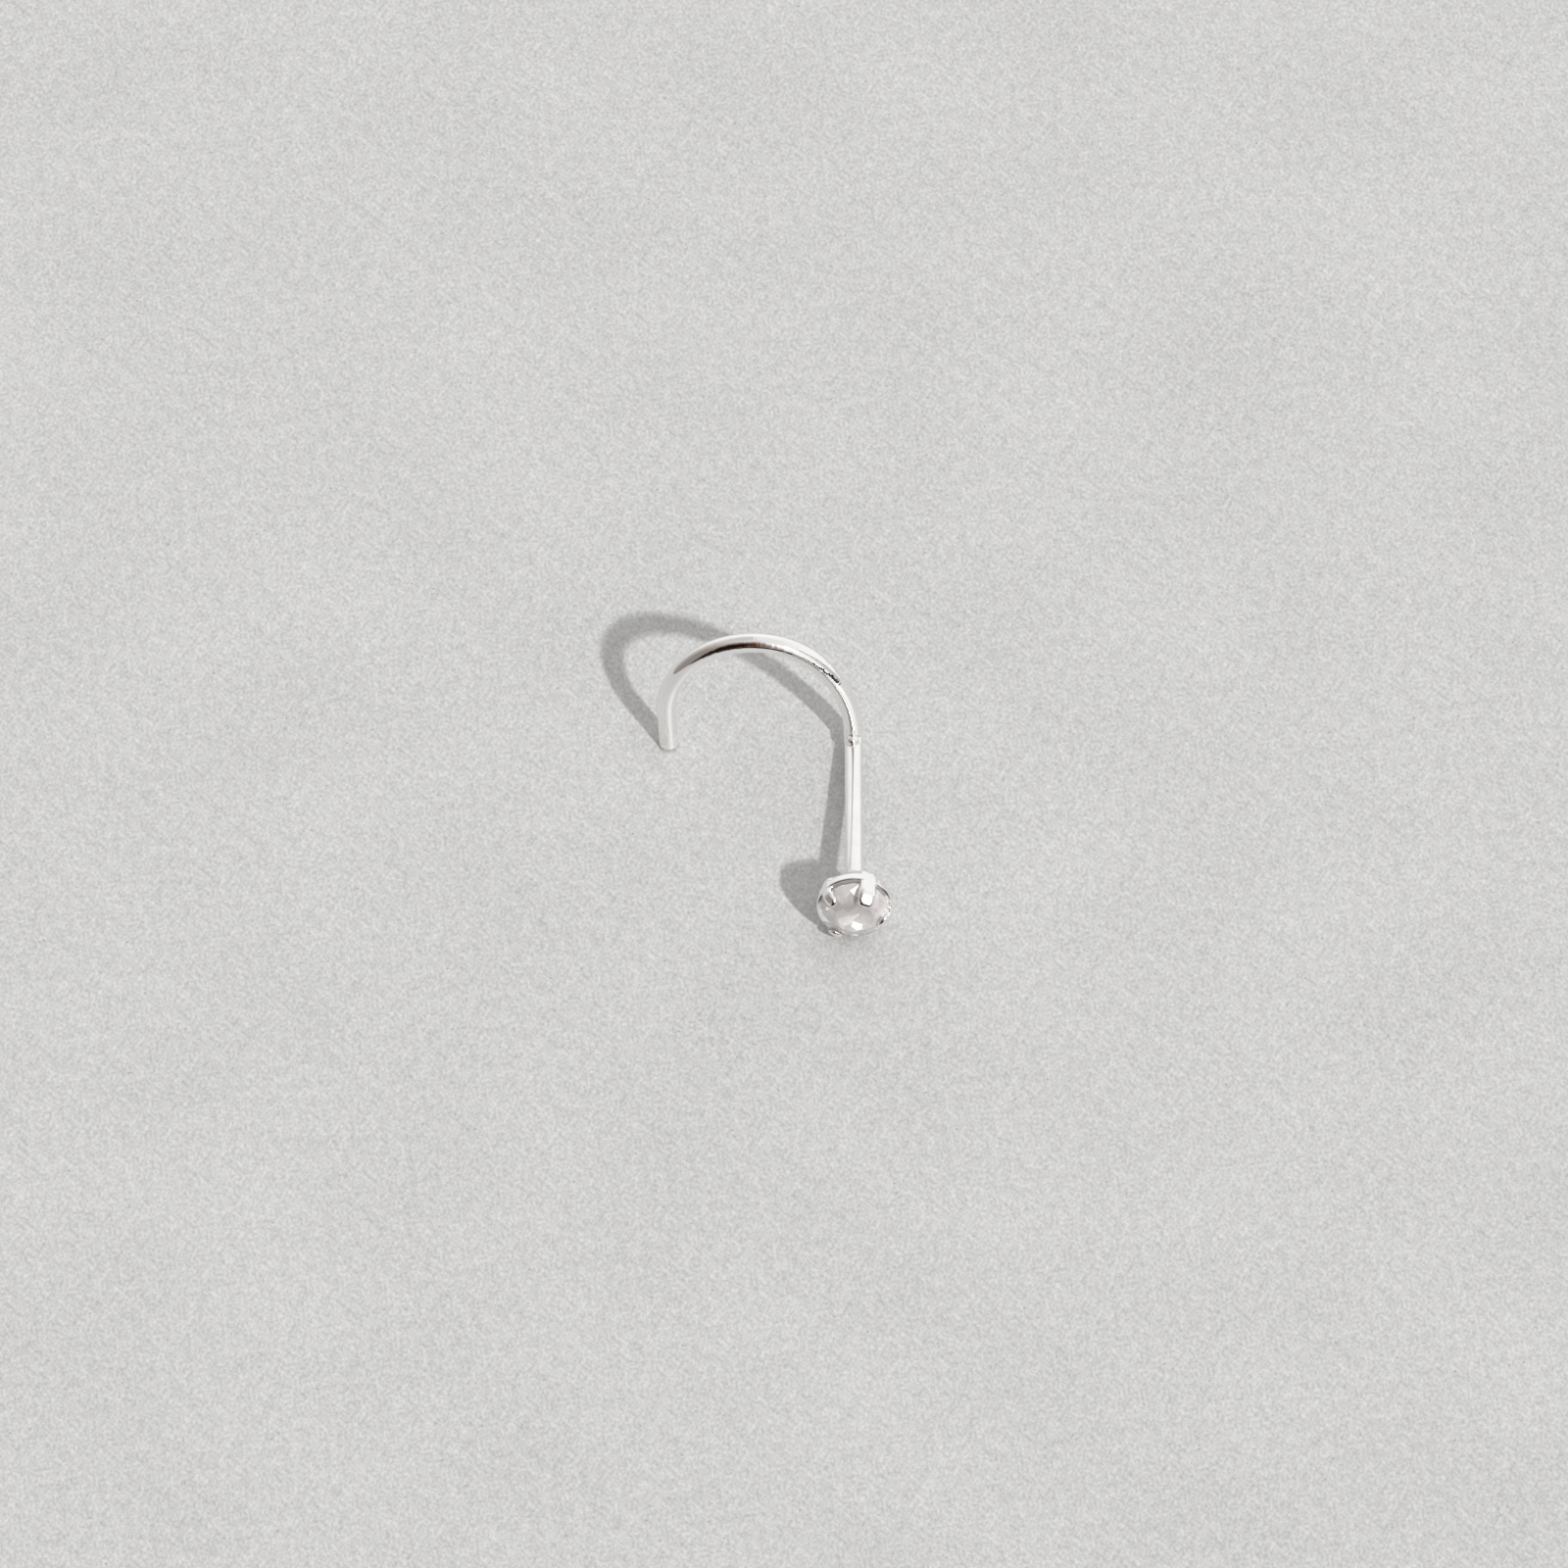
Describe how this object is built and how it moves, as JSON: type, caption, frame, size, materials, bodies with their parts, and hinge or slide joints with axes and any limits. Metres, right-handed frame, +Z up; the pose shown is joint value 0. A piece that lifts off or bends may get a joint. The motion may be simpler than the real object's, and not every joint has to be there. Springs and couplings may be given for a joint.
{
  "type": "nose stud",
  "caption": "Curved silver wire nose stud lying on a surface, with a straight post, a hand-bent hook and a claw-set round cut stone.",
  "frame": {"origin": "middle of the footprint on the surface that the stud lies on", "axes": "+Z up; +Y along the post, from the stone towards the hook; the stone faces -Y; the hook stands across the post and curls over to -X"},
  "size_m": [0.0078, 0.01, 0.0047],
  "materials": {
    "silver": "polished silver with fine scratches",
    "stone": "faceted clear stone, polished"
  },
  "bodies": {
    "root": {"silver_stud": "silver", "round_stone": "stone"}
  },
  "joints": []
}
